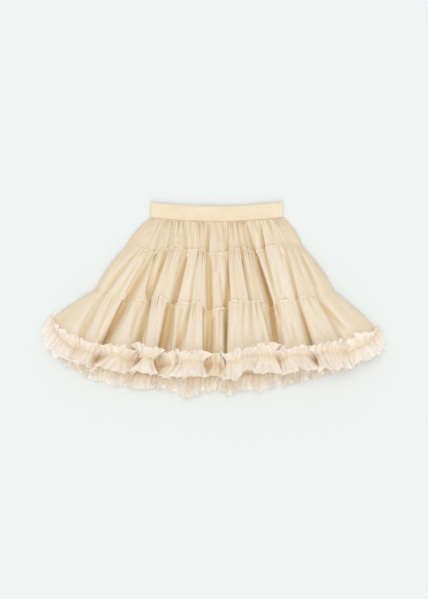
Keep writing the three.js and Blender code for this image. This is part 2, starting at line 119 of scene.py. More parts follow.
# Creases listed for each tier of the front: x and share down the tier at both ends, height (a trough
# is below 0, a ridge above), half width, and how far the trough leans sideways
CREASE_COLUMNS = "start_x start end_x end height width lean"
CREASES = {
    "tier1": table(
        CREASE_COLUMNS,
        (-103, 0.05, -115, 0.5, -1.5, 3, 0),
        (-92, 0.05, -101, 0.6, -1.2, 3, 0),
        (-83, 0.05, -89, 0.5, -1.2, 2.5, 0),
        (-71, 0.1, -74, 0.8, -2.4, 3, -1),
        (-65, 0.6, -68, 1, 1.5, 4, 0),
        (-56, 0.05, -59, 0.5, -1.2, 3, 0),
        (-36, 0.05, -40, 0.9, -1.6, 3, 0),
        (-25, 0.1, -27, 0.4, -1.8, 2.5, 0),
        (-9, 0.1, -13, 0.9, -2.6, 3, 1),
        (5, 0.1, 8, 0.5, -1.8, 2.5, 0),
        (17, 0.15, 22, 0.95, -2.2, 3, 1),
        (32, 0.05, 36, 0.6, -1.2, 3, 0),
        (47, 0.05, 58, 0.9, -3, 4, 2),
        (65, 0.1, 74, 0.8, -1.6, 3, 0),
        (79, 0.15, 86, 1, -3, 4, 3),
        (97, 0.05, 106, 0.6, -1.2, 3, 0),
        (112, 0.05, 126, 0.7, -1, 3, 0),
    ),
    "tier2": table(
        CREASE_COLUMNS,
        (-169, 0.35, -198, 0.85, -1.2, 4, 0),
        (-151, 0.2, -184, 0.75, -1.5, 4.5, 0),
        (-135, 0.2, -166, 0.8, -2, 4, 0),
        (-121, 0.15, -151, 0.8, -2.4, 4.5, -2),
        (-102, 0.08, -118, 0.8, -3.6, 4, -3),
        (-85, 0.05, -95, 0.35, -2.5, 3, -1),
        (-76, 0.05, -83, 0.4, -1.5, 3, 0),
        (-53, 0.15, -70, 0.92, -4.2, 3.5, 3),
        (-43, 0.05, -47, 0.35, -1.5, 2.5, 0),
        (-27, 0.05, -31, 0.75, -1.8, 3.5, 0),
        (-7, 0.1, -5, 0.85, -2.2, 4, 0),
        (1, 0.05, 4, 0.5, -1.6, 2.5, 0),
        (10, 0.35, 17, 0.95, -3, 3.5, 0),
        (20, 0.1, 26, 0.95, -3, 3, 3),
        (40, 0.05, 43, 0.3, -1.5, 2.5, 0),
        (55, 0.2, 67, 0.9, -3, 3.5, -3),
        (70, 0.05, 97, 1, -5, 4.5, 5),
        (104, 0.05, 117, 0.75, -1.6, 4, 0),
        (124, 0.15, 144, 0.95, -2.4, 4, 3),
        (140, 0.1, 155, 0.5, -1.5, 3, 0),
        (155, 0.2, 180, 0.75, -2, 4, 0),
    ),
    "tier3": table(
        CREASE_COLUMNS,
        (-212, 0.1, -236, 0.7, -1.8, 5, 0),
        (-184, 0.05, -207, 0.7, -2.5, 5, 0),
        (-158, 0.02, -194, 0.95, -3, 3.5, -4),
        (-137, 0.1, -148, 0.6, -2, 4, 0),
        (-119, 0.02, -128, 0.75, -4, 3.5, 4),
        (-99, 0.05, -104, 0.85, -1.2, 3, 0),
        (-79, 0.05, -94, 0.95, -4, 5, -3),
        (-67, 0.05, -71, 1, 4, 2.2, 0),
        (-58, 0.1, -65, 0.85, -3.5, 4, 0),
        (-47, 0.05, -58, 0.9, -2, 4, 2),
        (-32, 0.05, -36, 0.6, -1.4, 3, 0),
        (-16, 0.02, -11, 0.95, -3, 4, -3),
        (-2, 0.15, 0, 0.9, -3, 4, 0),
        (13, 0.05, 12, 1, 8, 2.4, 0),
        (19, 0.25, 19, 1, -4, 3, 2),
        (40, 0.05, 36, 0.65, -1.2, 4, 0),
        (65, 0.05, 72, 0.9, -1.6, 5, 0),
        (79, 0.05, 92, 0.85, -1.6, 4, 0),
        (87, 0.02, 106, 0.72, -3, 3.5, -4),
        (112, 0.05, 122, 0.65, -2, 4, 0),
        (131, 0.05, 144, 0.65, -2.4, 4, 0),
        (144, 0.02, 176, 1, -3, 3, 4),
        (158, 0.1, 187, 0.6, -1.6, 4, 0),
        (180, 0.02, 230, 0.6, -2.5, 4.5, 1),
        (194, 0.15, 236, 0.75, -1.6, 5, 0),
        (227, 0.25, 263, 0.7, -1.5, 5, 0),
    ),
}

# Shares of a tier over which a crease begins and ends
CREASE_RUN_IN = 0.08
CREASE_RUN_OUT = 0.16

# Panels that lie lower than the bells beside them, darker with painted shade: x and half width at the
# top and the bottom of the tier, and how much darker
SHADED_PANELS = {
    "tier1": table("x width shade", ((7, 5), (14, 16), 0.15), ((48, 60), (7, 9), 0.12)),
    "tier2": table("x width shade", ((5, 7), (16, 14), 0.22), ((58, 82), (8, 12), 0.22),
                   ((-95, -135), (8, 13), 0.12)),
    "tier3": table("x width shade", ((10, 7), (9, 6), 0.2), ((-64, -70), (9, 7), 0.12),
                   ((108, 142), (11, 18), 0.14)),
}

# Tiers: their seam lines, how much they puff up, how far down their gathers reach, how much painted
# shade they add (more towards the waist), and how long their strip was cut from its upper to its
# lower edge
TIERS = table(
    "name top bottom puff reach shade length",
    ("tier1", 0, 1, 1.5, 0.9, 0.14, 62),
    ("tier2", 1, 2, 5, 0.7, 0.08, 100),
    ("tier3", 2, 3, 5, 0.6, 0, 112),
)
LAST_TIER = TIERS[2]

# How far the sides of a tier bow out between its seams
SIDE_BOW = 5

# Powers of the share of the way to the side seams: the higher, the nearer to them a change stays
LIFT_POWER = 6
BOW_POWER = 5
DROP_POWER = 8
CLOSING_POWER = 40
FLARE_POWER = 10
END_POWER = 30

# How sharply a valley falls from the bells beside it
VALLEY_POWER = 1.5

# Gathers: how many across a half, how high they stand, and how far down the tier they reach
GATHER_SIZES = table("count rise reach seed", (19, 1.8, 1.15, 3), (44, 1.2, 0.75, 4),
                     (102, 0.8, 0.34, 5))

# Their share of that height on the seam itself, the share of the tier over which they gain the
# rest, their least reach, how soon they grow from the side seams, how much lower they are in a
# valley, and the gap between the seeds of two tiers
GATHERS_AT_SEAM = 0.4
GATHERS_GROW = 0.05
GATHERS_LEAST_REACH = 0.05
GATHERS_SIDE_POWER = 0.4
GATHERS_LOWER = 0.5
TIER_SEEDS = 10

# Rounded ridges: the lower this power, the narrower the creases between them
RIDGE_POWER = 0.75

# A gathered tier stands a little above its seam as a narrow header, which rises, fades out below
# the seam and has uneven bumps
HEADER = 4
HEADER_RISE = 1.5
HEADER_FADE = 0.5
HEADER_BUMPS = 70

# The end of a tier rises to meet what is sewn onto it
SEAM_LIFT = 1.3
HEM_LIFT = 1.7
END_LIFT_START = 0.955
SEWN_BELOW_SEAM = 0.015

# The next seam puckers the end of a tier
HEM_PUCKERS = 60
HEM_PUCKER_REACH = 0.1
HEM_PUCKER_RISE = 0.7

# A crease takes at most this share of the height under it, and counts as a valley of the same depth
# over this height would, which deepens the painted shade there
DEEPEST_CREASE = 0.5
CREASE_PAINTED_SHADE = 14

# Painted shade on the front: everywhere, in a full valley and on an upright face
PAINTED_FOLD_SHADE = dict(base=0.12, valley=0.45, upright=0.32)

# A painted highlight along the rims of the valleys: the depth where it lies, its width and how much
# lighter
RIM_DEPTH = 0.16
RIM_WIDTH = 0.08
RIM_PAINTED_HIGHLIGHT = 0.2

# Painted highlight on ridges and painted shade in creases, in two sizes: how many across a half,
# height and shade
PAINTED_RIDGE_SIZES = table("count height shade", (260, 0.35, 0.14), (70, 2.2, 0.12))

# Heights of the flat back and of the front's side edges, how far those close onto the back at the
# seams, and the step in both where they lie on the ruffle, from and to shares of the last tier
BACK_HEIGHT = 0.8
SIDE_HEIGHT = 2.4
SIDE_CLOSING = 1.2
STEP_HEIGHT = 1.3
STEP_DOWN = (0.5, 0.62)
SIDE_STEP = dict(start=0.5, run=0.15)

# The back shows a share of the gathers and creases, and its painted shade: lighter on the gathers'
# tops, darker at the creases
BACK_GATHERS = dict(share=0.4, lift=1.6)
BACK_CREASE_SHARE = 0.25
BACK_PAINTED_SHADE = dict(base=0.35, rise=5, crease=0.1)

# Ruffle: its two frills, how they stand up, and how much less they do so in the valleys
FRILL_ABOVE = 24
FRILL_BELOW = 32
BACK_FRILL_BELOW = 27
UPPER_STAND = dict(mean=math.radians(30), change=math.radians(34))
LOWER_STAND = dict(mean=math.radians(12), change=math.radians(28))
WAVE_STAND = math.radians(12)
STAND_LIMITS = (math.radians(-6), math.radians(52))
STAND_AT_STITCHES = 0.45
BACK_STAND = math.radians(9)
VALLEY_SHORTER = 0.6
VALLEY_FLATTER = 0.7
VALLEY_CALMER = 0.75
UPRIGHT_CALMER = 0.8
RUFFLE_OFF_TIER = 1.2
END_FLARE = dict(out=8, middle=-10, reach=38, sink=0.4)
END_SHORTER = 0.6

# Where the front ruffle is stitched to the last tier, and where the cloth's direction is taken
STITCHED_AT = 0.99
RUN_OUT_START = 0.8

# Waves of the ruffle: length, share of their height at the stitches and at the free edges, and how
# far the upper half's waves are turned against the lower half's, in radians
FRILL_WAVES = table(
    "length at_stitches at_edge turn",
    (24, 0.0, 0.5, 1.9),
    (9.5, 0.3, 0.8, 0.9),
    (4.6, 0.25, 0.16, 0.4),
)

# The wave length for which the columns are counted, and how far waves swing up and sway sideways
WAVE_LENGTH = 7.5
FRONT_SWING = 2.2
FRONT_SWAY = 3.2
BACK_SWING = 2.2
BACK_SWAY = 2.6
SWING_AT_STITCHES = 0.4
FRONT_WAVES_SEED = 21
BACK_WAVES_SEED = 41

# How the waves bend on their way to the free edge, in radians, and how they sway sideways
WAVE_BEND = 1.5
WAVE_BEND_LENGTH = 3
WAVE_DRIFT = 1.5
SWAY_AHEAD = 0.8
SECOND_SWAY = 0.5

# How uneven the free edge is: slowly along its length, and with its waves
EDGE_UNEVEN = {"front": dict(slow=0.14, waves=0.08), "back": dict(slow=0.1, waves=0.05)}

# Length of the lobes into which the front's frills fold, their share of the stand, and how the
# lobes of the lower frill follow them: share, and how many columns behind
LOBE_LENGTH = 23
LOBE_SHARE = 0.6
LOWER_LOBES = dict(share=0.5, behind=11)

# Narrow bells under which the ruffle is drawn together into a bow: middle, half width and share
PINCHES = table("x width pull", (-168, 14, 0.6), (-126, 20, 0.65), (-52, 20, 0.3))
PINCH_POWER = 1.3

# Places where the front's upper frill spreads further up the cloth
TALL_LOBES = table("x out width", (-126, 4, 22), (-70, 3, 10), (38, 3, 12), (62, 5, 9),
                   (96, 9, 17), (214, 4, 16), (262, 5, 14))

# Height above which the frill's tips lean over, and how much further they can rise
TIP_HEIGHT = 56
TIP_ROOM = 7

# Lobes that hang further out of the back's hem
HEM_LOBES = table("x out width", (-41, 12, 16), (28, 9, 8), (83, 7, 9))

# How much painted shade the ruffle has in its troughs, which fades towards the edge, in a valley and
# at its stitched middle, and where a painted highlight turns its free edge light
FRILL_PAINTED_SHADE = dict(trough=0.6, fade=0.4, valley=0.55, front_middle=0.3, back_middle=0.75)
FRILL_EDGE_HIGHLIGHT = dict(start=0.84, run=0.14, lighter=0.85)
MIDDLE_POWER = 3

# Smooth random changes: their size, the length of one step, and their seed
CHANGES = {
    "gather_place": dict(size=2.4, step=3, seed=0),
    "gather_reach": dict(size=0.5, step=1.3, seed=50),
    "gather_height": dict(size=0.6, step=1.7, seed=70),
    "pucker_place": dict(size=2, step=3, seed=90),
    "pucker_reach": dict(size=0.6, step=1.5, seed=95),
    "header": dict(size=1.6, step=1, seed=110),
    "wave_place": dict(size=2.2, step=2.3, seed=0),
    "wave_height": dict(size=0.5, step=1.4, seed=5),
    "wave_drift": dict(size=1, step=3, seed=9),
    "wave_bend": dict(size=3, step=2, seed=12),
    "front_edge": dict(size=1, step=9, seed=30),
    "back_edge": dict(size=1, step=9, seed=50),
    "back_stand": dict(size=0.8, step=9, seed=51),
    "lobe_place": dict(size=2, step=25, seed=60),
    "lobe": dict(size=0.4, step=6.5, seed=61),
    "lower_lobe": dict(size=0.5, step=8, seed=62),
}
RANDOM_VALUES = 4096

# Waistband: its size, how far above its seam it starts, and its rounded ends
BAND_HEIGHT = 27
BAND_THICKNESS = 5
ELASTIC_WALL = 1.5
BAND_ABOVE_SEAM = 0.3
BAND_END = dict(radius=2.4, turn=80, points=9)
BAND_COLUMNS = 120

# Rows of its faces: how its edges are rounded, as the distance from the edge and the share of
# the wall inward, and the shares of its height between them
BAND_EDGE = [(0, 0.5), (0.3, 0.15), (0.7, 0)]
BAND_ROWS = dict(start=0.9, stop=0.1, num=9)

# Stitches: their size, their section along their length, and how far the path is looked along
STITCH_PITCH = 3.6
STITCH_LENGTH = 2.7
STITCH_RADIUS = 0.28
STITCH_SUNK = 0.3
STITCH_PROFILE = [(-0.5, 0.35), (-0.3, 1), (0.3, 1), (0.5, 0.35)]
STITCH_SIDES = 6
STITCH_AHEAD = 1

# The waistband's stitches: how far above its lower edge and inside its ends
BAND_STITCHES_UP = 3.2
BAND_STITCHES_IN = 4
BAND_STITCH_SAMPLES = 300

# Net cloths: painted colours from lit ridge to shaded fold, least and most opacity, and streaks
# across a sheet
CLOTHS = {
    "tulle_net": dict(
        colours=[(0, "FBEDD9"), (0.25, "F3E1C3"), (0.6, "ECD5B0"), (0.85, "E5C897"), (1, "DDB474")],
        opacity=(0.72, 0.9), streaks=260),
    "ruffle_net": dict(
        colours=[(0, "FFFAF3"), (0.25, "FCF1E4"), (0.6, "F0DDC4"), (1, "DABB91")],
        opacity=(0.7, 0.88), streaks=500),
    # The back ruffle is the same net with lighter colours, painted light standing in for the light it
    # gets through the front frill
    "back_ruffle_lightened_net": dict(
        colours=[(0, "FFFAF0"), (0.25, "FFF3E2"), (0.6, "FAE5C8"), (1, "E3C69C")],
        opacity=(0.85, 0.96), streaks=500),
}

# Noise along the cloth: how much wider than a streak, scale down the sheet, detail and shade
STREAKS = dict(wider=1, down=5, detail=4, shade=0.11)
PLEATS = dict(wider=3.6, down=1.5, detail=3, shade=0.14)

# Cells of the net in millimetres, how uneven they are, and how far their threads stand out
NET = dict(cell=1.3, uneven=0.25, thread=0.35)
NET_BUMP = dict(strength=0.35, depth=0.6)
NET_LAYERS = 32

# Elastic and thread: pitch of the weave in millimetres, scale of the mottle, and two shades each
RIBS = dict(direction="Y", pitch=1.1, distortion=0.3)
CROSS_THREADS = dict(direction="X", pitch=0.7, distortion=0)
ELASTIC_BUMP = dict(strength=0.25, depth=0.3)
ELASTIC_MOTTLE = dict(scale=60, colours=[(0.3, "EAD8B7"), (0.7, "EDDEC2")])
THREAD_TWIST = dict(scale=900, colours=[(0.3, "E2CDA6"), (0.7, "EFE0C4")])

# Surfaces, as the shader's own inputs
FINISHES = {
    "tulle": {"Roughness": 0.85, "Sheen Weight": 0.25, "Sheen Roughness": 0.5,
              "Specular IOR Level": 0.15},
    "elastic": {"Roughness": 0.7, "Sheen Weight": 0.2},
    "thread": {"Roughness": 0.7, "Sheen Weight": 0.2},
    "floor": {"Base Color": (0.806, 0.822, 0.815, 1), "Roughness": 1, "Specular IOR Level": 0},
}

# Stage, in metres and degrees: a wide floor just under the skirt, light from all round, and two
# soft lamps turned about X and Y from straight down
FLOOR_SIZE = 60
FLOOR_BELOW = 0.0004
SKY = {"Color": (0.868, 0.88, 0.874, 1), "Strength": 0.84}
LAMPS = [
    dict(name="key", energy=0.66, spread=28, turn=(-23, -8)),
    dict(name="fill", energy=0.85, spread=60, turn=(50, 6)),
]

# Photographed frame in metres: 428 by 599 pixels at 1.8 mm each, on a level a little above the
# floor, how far the camera sees, and its lens and sensor in millimetres
FRAME_HEIGHT = 1.078
FRAME_LEVEL = 0.01
FAR_END = 100
LENS = 90
SENSOR = 36


# Numbers

def smooth(value):
    share = np.clip(value, 0, 1)
    return share * share * (3 - 2 * share)


def mix(a, b, share):
    return a + (b - a) * share


def hump(x, middle, width):
    """A rounded hump, 1 at its middle."""
    return np.exp(-((x - middle) / width) ** 2)


def plateau(x, middle, width):
    """A flat top with steep sides, 1 at its middle."""
    return np.exp(-((x - middle) / width) ** 4)


def wander(place, seed, step):
    """Smooth values from -1 to 1 along place, one new value every step."""
    values = np.random.RandomState(seed).uniform(-1, 1, RANDOM_VALUES)
    cell = np.floor(place / step).astype(int)
    share = smooth(place / step - cell)
    return mix(values[cell % RANDOM_VALUES], values[(cell + 1) % RANDOM_VALUES], share)


def change(kind, place, seed=0):
    """A smooth random change of one kind along place."""
    row = CHANGES[kind]
    return row["size"] * wander(place, row["seed"] + seed, row["step"])


def ridges(phase):
    """Rounded ridges with narrow creases between them, from -1 to 1."""
    return 2 * np.abs(np.sin(phase / 2)) ** RIDGE_POWER - 1


def unit(vectors):
    """Vectors of length 1, or 0 where there is no direction."""
    return vectors / np.maximum(np.linalg.norm(vectors, axis=-1, keepdims=True), 1e-9)


# Seam lines

def line_x(line, side):
    """The x of a seam line at a side from -1, at its left end, to 1."""
    return mix(line["left_x"], line["right_x"], (side + 1) / 2)


def line_side(line, x):
    return 2 * (x - line["left_x"]) / (line["right_x"] - line["left_x"]) - 1


def line_y(line, side):
    square = np.where(side < 0, line["left_square"], line["right_square"])
    end_y = np.where(side < 0, line["left_y"], line["right_y"])
    reach = np.clip(1 - np.abs(side) ** square, 0, None) ** line["rounding"]
    return mix(end_y, line["mid_y"], reach)


def line_reader(keys, values):
    return lambda across: np.interp(across, keys, values)


def lay_columns(hem_name):
    """For each seam line, a function from a share of the hem's length to the side."""
    hem = LINES[hem_name]
    sides = -np.cos(np.linspace(0, math.pi, HEM_SAMPLES))
    steps = np.hypot(np.diff(line_x(hem, sides)), np.diff(line_y(hem, sides)))
    shares = np.concatenate([[0], np.cumsum(steps)]) / steps.sum()
    knots = [np.interp(line_side(hem, v["x"][HEM]), sides, shares) for v in VALLEYS]
    found = []
    for n in range(HEM):
        crossings = [line_side(LINES[LINE_NAMES[n]], v["x"][n]) for v in VALLEYS]
        found.append(line_reader([0, *knots, 1], [-1, *crossings, 1]))
    return [*found, line_reader(shares, sides)]


FRONT_SIDES = lay_columns("hem")
BACK_SIDES = lay_columns("back_hem")


def step_drop(name, x):
    """How far the steps drop a seam line at x."""
    drop = 0 * x
    for step in SEAM_STEPS.get(name, ()):
        drop = drop + step["drop"] * plateau(x, step["x"], step["width"])
    return drop


def between_seams(tier, names, columns, across, down):
    """x, y and side between a tier's two seam lines, and how far their steps drop it there."""
    ends = []
    for name, n in zip(names, (tier["top"], tier["bottom"])):
        side = columns[n](across)
        x = line_x(LINES[name], side)
        ends.append((x, line_y(LINES[name], side), side, step_drop(name, x)))
    return [mix(start, end, down) for start, end in zip(*ends)]


def line_value(tier, key, down):
    """One of the seam lines' values between a tier's two seams."""
    top, bottom = (LINES[LINE_NAMES[tier[end]]][key] for end in ("top", "bottom"))
    return mix(top, bottom, down)


def side_bow(side, down):
    """How far the sides of a tier bow out."""
    return SIDE_BOW * np.sin(math.pi * down) * side * np.abs(side) ** BOW_POWER


def grid_shares(columns, rows, start=0):
    """Shares across and down a sheet, for every point of its grid."""
    across = np.linspace(0, 1, columns)[None, :]
    down = np.linspace(start, 1, rows)[:, None]
    return np.broadcast_arrays(across, down)


# Front half

def valley_fields(tier, x, down):
    """How deep the front is folded in at x, and how far the valley floors lean there."""
    top, bottom = tier["top"], tier["bottom"]
    height = 1.0
    lean = 0.0
    for valley in VALLEYS:
        middle = mix(valley["x"][top], valley["x"][bottom], down)
        depth = mix(valley["depth"][top], valley["depth"][bottom], down)
        shift = mix(valley["lean"][top], valley["lean"][bottom], down)
        width = valley["width"] * mix(NARROWING[top], NARROWING[bottom], down)
        fall = depth / (1 + ((x - middle) / width) ** 2) ** VALLEY_POWER
        height = height * (1 - fall)
        lean = lean + shift * fall
    return 1 - height, lean


def crease_fields(creases, x, down):
    """Heights of the creases placed by hand, and how far their troughs lean."""
    rise = 0.0
    lean = 0.0
    for crease in creases:
        share = (down - crease["start"]) / (crease["end"] - crease["start"])
        middle = mix(crease["start_x"], crease["end_x"], share)
        begin = smooth((down - crease["start"]) / CREASE_RUN_IN + 1)
        stop = smooth((crease["end"] - down) / CREASE_RUN_OUT + 1)
        shape = begin * stop * hump(x, middle, crease["width"])
        rise = rise + crease["height"] * shape
        lean = lean + crease["lean"] * shape
    return rise, lean


def painted_panel_shade(panels, x, down):
    """Painted shade where the cloth lies lower than the bells beside it."""
    shade = 0.0
    for panel in panels:
        middle = mix(*panel["x"], down)
        shade = shade + panel["shade"] * plateau(x, middle, mix(*panel["width"], down))
    return shade


def side_lift(side):
    """1 over most of a half, falling to 0 at its side seams."""
    return np.sqrt(np.clip(1 - np.abs(side) ** LIFT_POWER, 0, None))


def side_height(tier, down):
    """Height of the front's side edges, which step up onto the ruffle on the last tier."""
    step = smooth((down - SIDE_STEP["start"]) / SIDE_STEP["run"]) * STEP_HEIGHT
    return SIDE_HEIGHT + (step if tier["bottom"] == HEM else 0 * step)


def front_sheet(tier, across, down):
    """Points of the front of a tier without its gathers, its side and its depth of folding."""
    names = (LINE_NAMES[tier["top"]], LINE_NAMES[tier["bottom"]])
    x, y, side, steps = between_seams(tier, names, FRONT_SIDES, across, down)
    depth, lean = valley_fields(tier, x, down)
    crease, crease_lean = crease_fields(CREASES[tier["name"]], x, down)
    drop = (line_value(tier, "drop", down) * depth + steps) * (1 - side ** DROP_POWER)
    height = line_value(tier, "height", down) + tier["puff"] * np.sin(math.pi * down)
    clearance = line_value(tier, "clearance", down)
    flat = side_lift(side)
    lift = flat * (clearance + (height - clearance) * (1 - depth))
    dent = np.maximum(crease, -DEEPEST_CREASE * lift) * flat
    z = side_height(tier, down) + lift + dent - SIDE_CLOSING * np.abs(side) ** CLOSING_POWER
    shift = (lean + crease_lean) * flat
    points = np.stack([x + side_bow(side, down) + shift, y - drop, z], axis=-1)
    # The creases count in the depth, and so in the painted shade
    return points, side, np.clip(depth - crease / CREASE_PAINTED_SHADE, 0, 1)


def gathers(tier, across, down):
    """Heights of the gathers below a seam."""
    total = 0.0
    least = 0 if tier["top"] == 0 else GATHERS_AT_SEAM
    start = mix(least, 1, smooth(np.abs(down) / GATHERS_GROW))
    for size in GATHER_SIZES:
        seed = size["seed"] + TIER_SEEDS * tier["top"]
        place = across * size["count"]
        phase = 2 * math.pi * size["count"] * across + change("gather_place", place, seed)
        reach = size["reach"] * tier["reach"] * (1 + change("gather_reach", place, seed))
        strength = 1 + change("gather_height", place, seed)
        fade = 1 - smooth(down / np.maximum(reach, GATHERS_LEAST_REACH))
        total = total + size["rise"] * (fade * strength * start) * ridges(phase)
    return total * np.clip(np.sin(math.pi * across), 0, None) ** GATHERS_SIDE_POWER


def hem_gathers(tier, across, down):
    """Heights of the short puckers that the next seam draws into the end of a tier."""
    place = across * HEM_PUCKERS
    phase = 2 * math.pi * HEM_PUCKERS * across + change("pucker_place", place, tier["top"])
    reach = HEM_PUCKER_REACH * (1 + change("pucker_reach", place, tier["top"]))
    return HEM_PUCKER_RISE * smooth(1 - (1 - down) / reach) * ridges(phase)


def header_bumps(tier, across, down):
    """How far the gathers puff the free edge above a seam up or down."""
    if tier["top"] == 0:
        return 0.0
    bumps = change("header", across * HEADER_BUMPS, tier["top"])
    return bumps * np.clip(-down * tier["length"] / HEADER, 0, 1)


def steepness(points):
    """How far each part of a grid of points turns away from straight up, from 0 to 1."""
    normal = np.cross(np.gradient(points, axis=0), np.gradient(points, axis=1))
    return 1 - np.abs(unit(normal)[..., 2])


def convexity(heights, reach):
    """How far each point stands above its neighbours along the row."""
    padded = np.pad(heights, ((0, 0), (reach, reach)), mode="edge")
    return heights - (padded[:, 2 * reach:] + padded[:, :-2 * reach]) / 2


def painted_ridge_light(points):
    """Painted highlight on the ridges; below 0, painted shade in the creases."""
    shade = 0.0
    for size in PAINTED_RIDGE_SIZES:
        stands = convexity(points[..., 2], max(1, points.shape[1] // size["count"]))
        shade = shade + size["shade"] * np.clip(stands / size["height"], -1, 1)
    return shade


def painted_front_shade(tier, points, depth, down):
    """Painted shade on the cloth: darker in its valleys, on its slopes, low panels and creases, with
    painted highlights on its ridges and rims.
    """
    painted_shade = PAINTED_FOLD_SHADE["base"] + tier["shade"] + PAINTED_FOLD_SHADE["valley"] * depth
    painted_shade = painted_shade + PAINTED_FOLD_SHADE["upright"] * steepness(points)
    painted_shade = painted_shade + painted_panel_shade(SHADED_PANELS[tier["name"]], points[..., 0], down)
    painted_shade = painted_shade - painted_ridge_light(points) - RIM_PAINTED_HIGHLIGHT * hump(depth, RIM_DEPTH, RIM_WIDTH)
    return np.clip(painted_shade, 0, 1)


def front_grid(tier):
    """Points of the front of a tier with its gathers, its painted shade and its own measures."""
    header = 0 if tier["top"] == 0 else HEADER / tier["length"]
    across, down = grid_shares(FRONT_COLUMNS, FRONT_ROWS, -header)
    points, side, depth = front_sheet(tier, across, down)
    rise = gathers(tier, across, down) + hem_gathers(tier, across, down)
    sewn_end = smooth((down - END_LIFT_START) / (STITCHED_AT - END_LIFT_START))
    if tier["bottom"] < HEM:
        next_tier = TIERS[tier["bottom"]]
        rise = mix(rise, gathers(next_tier, across, 0 * down), sewn_end)
    rise = rise * (1 - GATHERS_LOWER * depth)
    lip = HEADER_RISE * (1 - smooth(down / header - HEADER_FADE)) if header else 0.0
    lip = lip + (HEM_LIFT if tier["bottom"] == HEM else SEAM_LIFT) * sewn_end
    points = points.copy()
    points[..., 2] += (rise + lip) * side_lift(side)
    points[..., 1] += header_bumps(tier, across, down) * side_lift(side)
    return points, painted_front_shade(tier, points, depth, down), across, down


# Back half

def back_sheet(tier, across, down):
    """Points of the flat back of a tier and its side."""
    bottom = "back_hem" if tier["bottom"] == HEM else LINE_NAMES[tier["bottom"]]
    names = (LINE_NAMES[tier["top"]], bottom)
    x, y, side, _ = between_seams(tier, names, BACK_SIDES, across, down)
    step = smooth((down - STEP_DOWN[0]) / (STEP_DOWN[1] - STEP_DOWN[0])) * STEP_HEIGHT
    z = BACK_HEIGHT + (step if tier["bottom"] == HEM else 0 * step)
    return np.stack([x + side_bow(side, down), y, z], axis=-1), side


def back_grid(tier):
    """The back lies flat, so its creases and gathers all stand up, inside the skirt."""
    across, down = grid_shares(BACK_COLUMNS, BACK_ROWS)
    points, side = back_sheet(tier, across, down)
    points = points.copy()
    rise = gathers(tier, across, down)
    crease, _ = crease_fields(CREASES[tier["name"]], -points[..., 0], down)
    raised = BACK_GATHERS["share"] * (rise + BACK_GATHERS["lift"])
    points[..., 2] += (raised + BACK_CREASE_SHARE * np.abs(crease)) * side_lift(side)
    # Painted shade: lighter where the gathers rise, darker at the creases
    painted_shade = BACK_PAINTED_SHADE["base"] - rise / BACK_PAINTED_SHADE["rise"] + BACK_PAINTED_SHADE["crease"] * np.abs(crease)
    return points, np.clip(painted_shade, 0, 1), across, down


# Meshes

def add_piece(name, places, faces, material):
    """A smooth mesh from points in millimetres."""
    mesh = bpy.data.meshes.new(name)
    mesh.from_pydata((places * MM).reshape(-1, 3).tolist(), [], faces)
    mesh.polygons.foreach_set("use_smooth", np.ones(len(mesh.polygons), dtype=bool))
    mesh.update()
    mesh.materials.append(material)
    piece = bpy.data.objects.new(name, mesh)
    bpy.context.scene.collection.objects.link(piece)
    return piece


def grid_piece(name, grid, material):
    """A sheet from rows and columns of points, with its painted shade and its own measures."""
    points, painted_shade, across, down = grid
    rows, columns = points.shape[:2]
    index = np.arange(rows * columns).reshape(rows, columns)
    quads = np.stack([index[:-1, :-1], index[1:, :-1], index[1:, 1:], index[:-1, 1:]], axis=-1)
    piece = add_piece(name, points, quads.reshape(-1, 4).tolist(), material)
    mesh = piece.data
    # The painted shade is kept on each point, for the material to pick its colour
    layer = mesh.attributes.new("painted_shade", "FLOAT", "POINT")
    layer.data.foreach_set("value", painted_shade.reshape(-1).astype(np.float32))
    corners = np.empty(len(mesh.loops), dtype=np.int32)
    mesh.loops.foreach_get("vertex_index", corners)
    uv = np.stack([across, down], axis=-1).reshape(-1, 2)[corners]
    mesh.uv_layers.new(name="cloth").data.foreach_set("uv", uv.reshape(-1).astype(np.float32))
    return piece


def lengths_along(path):
    """How far along a path each of its points is."""
    steps = np.linalg.norm(np.diff(path, axis=0), axis=-1)
    return np.concatenate([[0], np.cumsum(steps)])


def place_sheet(piece, node):
    """Hangs a sheet under the root and hides the solid it stands for."""
    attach(piece, "root")
    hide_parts(node)


# Materials

def linear(code):
    """A colour written as six hex digits, in the linear values that shaders take."""
    values = [int(code[i:i + 2], 16) / 255 for i in (0, 2, 4)]
    curve = [v / 12.92 if v <= 0.04045 else ((v + 0.055) / 1.055) ** 2.4 for v in values]
    return (*curve, 1.0)


def add_node(tree, kind, **values):
    node = tree.nodes.new(kind)
    for key, value in values.items():
        setattr(node, key, value)
    return node


def set_inputs(node, values):
    for name, value in values.items():
        node.inputs[name].default_value = value


def new_material(name, finish):
    """A material with its surface set, its tree and its shader."""
    material = bpy.data.materials.new(name)
    material.use_nodes = True
    tree = material.node_tree
    shader = tree.nodes["Principled BSDF"]
    set_inputs(shader, FINISHES[finish])
    return material, tree, shader


def stretched_noise(tree, across, size):
    """Streaks that run down the cloth, from the sheet's own measures."""
    where = add_node(tree, "ShaderNodeUVMap", uv_map="cloth")
    stretch = add_node(tree, "ShaderNodeMapping")
    noise = add_node(tree, "ShaderNodeTexNoise", noise_dimensions="2D")
    set_inputs(stretch, {"Scale": (across / size["wider"], size["down"], 1)})
    set_inputs(noise, {"Scale": 1, "Detail": size["detail"]})
    tree.links.new(where.outputs["UV"], stretch.inputs["Vector"])
    tree.links.new(stretch.outputs["Vector"], noise.inputs["Vector"])
    return noise.outputs["Fac"]


